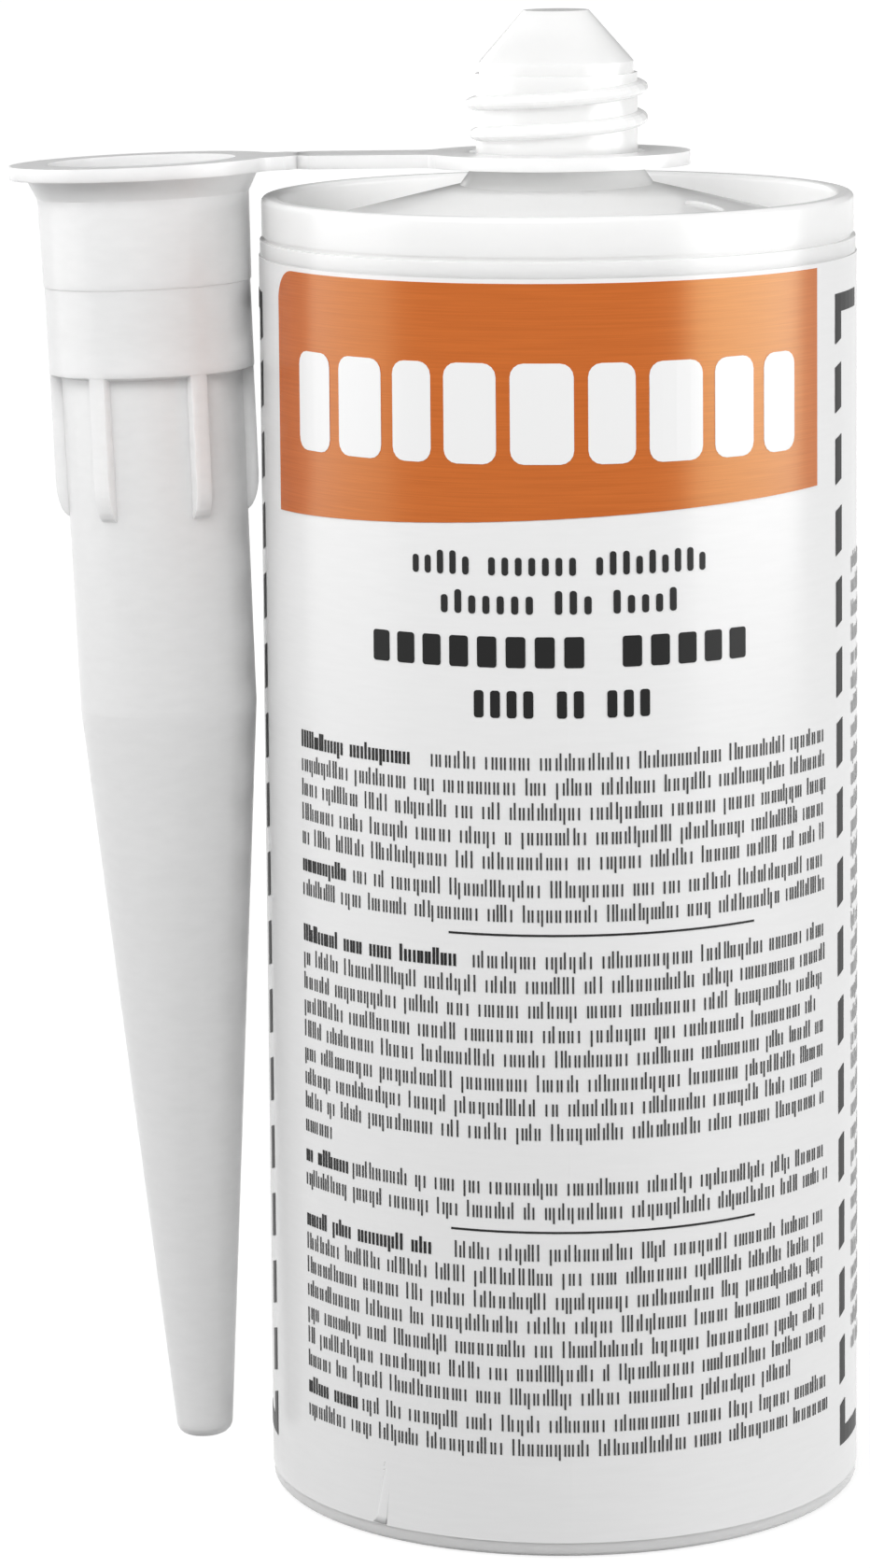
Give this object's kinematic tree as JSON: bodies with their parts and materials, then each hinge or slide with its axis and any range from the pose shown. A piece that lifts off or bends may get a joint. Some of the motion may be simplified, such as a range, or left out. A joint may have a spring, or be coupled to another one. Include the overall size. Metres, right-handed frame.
{
  "type": "caulk tube",
  "caption": "Half-length sealant cartridge with a threaded, closed neck, a rear piston and a tear-off nozzle that hangs beside it on a strap and ring.",
  "frame": {"origin": "centre of the cartridge's open rear end, where it stands", "axes": "+Z along the cartridge's axis towards its neck, -Y out of the front of the print, -X towards the hanging nozzle"},
  "size_m": [0.0703, 0.0502, 0.1242],
  "materials": {
    "barrel_plastic": "white moulded polyethylene, semi-gloss",
    "label_film": "white printed film, satin",
    "label_ink": "orange ink, satin",
    "plunger_plastic": "natural moulded polyethylene, satin",
    "filling": "smooth grey paste",
    "nozzle_plastic": "natural translucent polyethylene, satin"
  },
  "bodies": {
    "cartridge": {"cartridge": "barrel_plastic", "label": "label_film", "label_panel": "label_ink", "sealant": "filling"},
    "plunger": {"plunger": "plunger_plastic"},
    "nozzle": {"nozzle": "nozzle_plastic", "strap_ring": "nozzle_plastic"}
  },
  "joints": [
    {"name": "plunger_slide", "type": "slide", "parent": "cartridge", "child": "plunger", "axis": [0, 0, 1], "range_m": [0, 0.0645], "deforming": ["sealant"]},
    {"name": "nozzle_swivel", "type": "hinge", "parent": "cartridge", "child": "nozzle", "pos_m": [0, 0, 0.1115], "axis": [0, 0, 1], "continuous": true}
  ]
}
